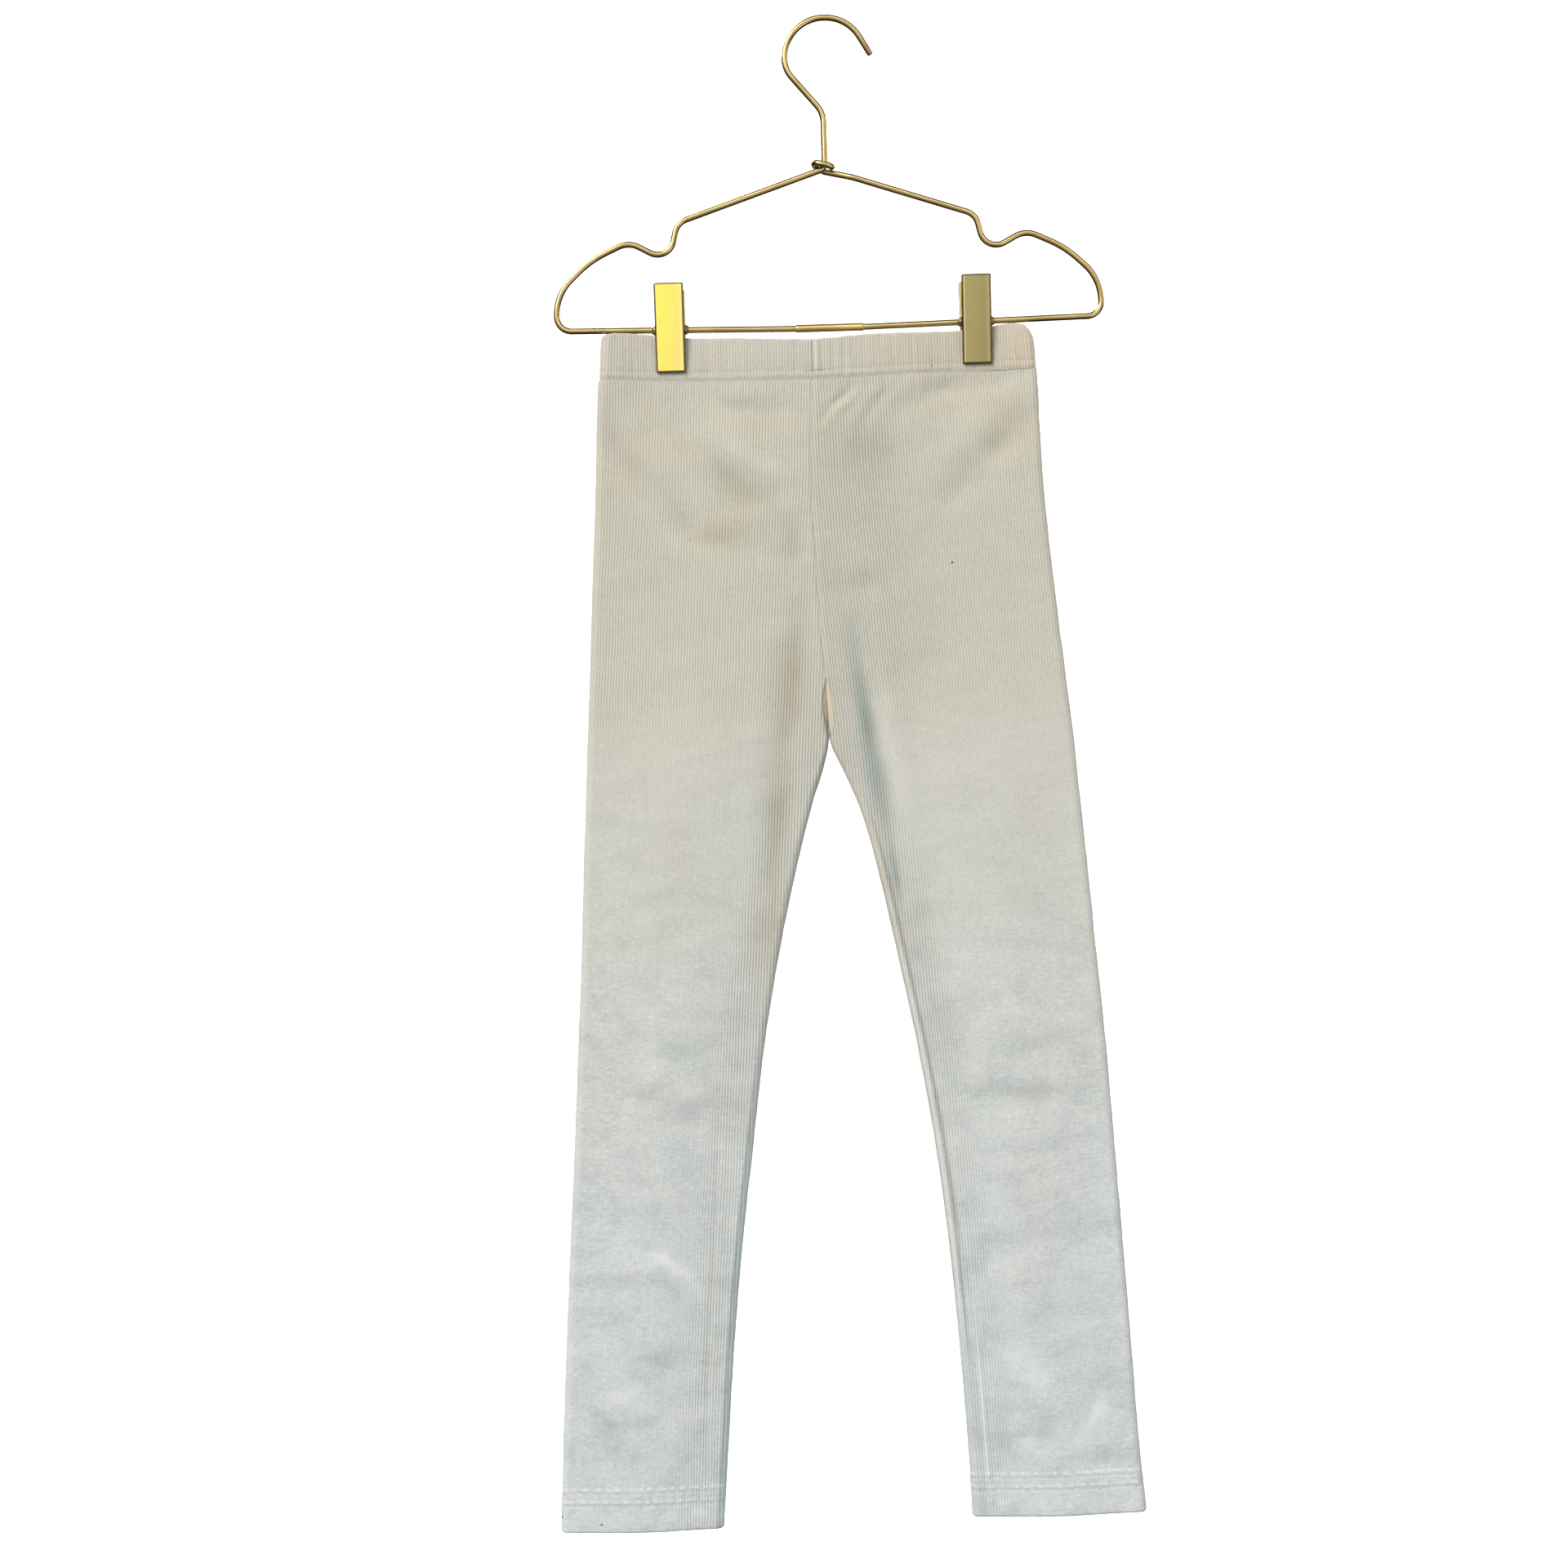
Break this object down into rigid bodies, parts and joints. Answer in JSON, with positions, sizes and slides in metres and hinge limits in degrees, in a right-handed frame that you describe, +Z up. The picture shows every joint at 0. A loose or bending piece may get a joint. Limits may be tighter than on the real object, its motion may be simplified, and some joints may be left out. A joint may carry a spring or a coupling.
{
  "type": "leggings on a clip hanger",
  "caption": "Child's rib-knit leggings with an elastic casing and coverstitched hems, hung flat by the waist from a brass wire hanger with spring clips.",
  "frame": {"origin": "underside of the hook's crown, where a rail or peg carries the hanger", "axes": "+Z up, front of the garment towards -Y, +X to the right as seen from the front"},
  "size_m": [0.3438, 0.0202, 0.8877],
  "materials": {
    "rib_cotton": "off-white fine rib cotton knit, matt",
    "casing_cotton": "the same rib over elastic, slightly warmer",
    "wire_brass": "satin brass plated wire",
    "sleeve_brass": "satin brass plated tube",
    "plate_brass": "smooth brass plated sheet",
    "spring_brass": "brass plated spring wire"
  },
  "bodies": {
    "root": {"leg_left": "rib_cotton", "leg_right": "rib_cotton", "waistband": "casing_cotton", "hanger_wire_left": "wire_brass", "hanger_wire_right": "wire_brass", "bar_sleeve": "sleeve_brass", "clip_left_front": "plate_brass", "clip_left_back": "plate_brass", "clip_left_spring": "spring_brass", "clip_right_front": "plate_brass", "clip_right_back": "plate_brass", "clip_right_spring": "spring_brass"}
  },
  "joints": []
}
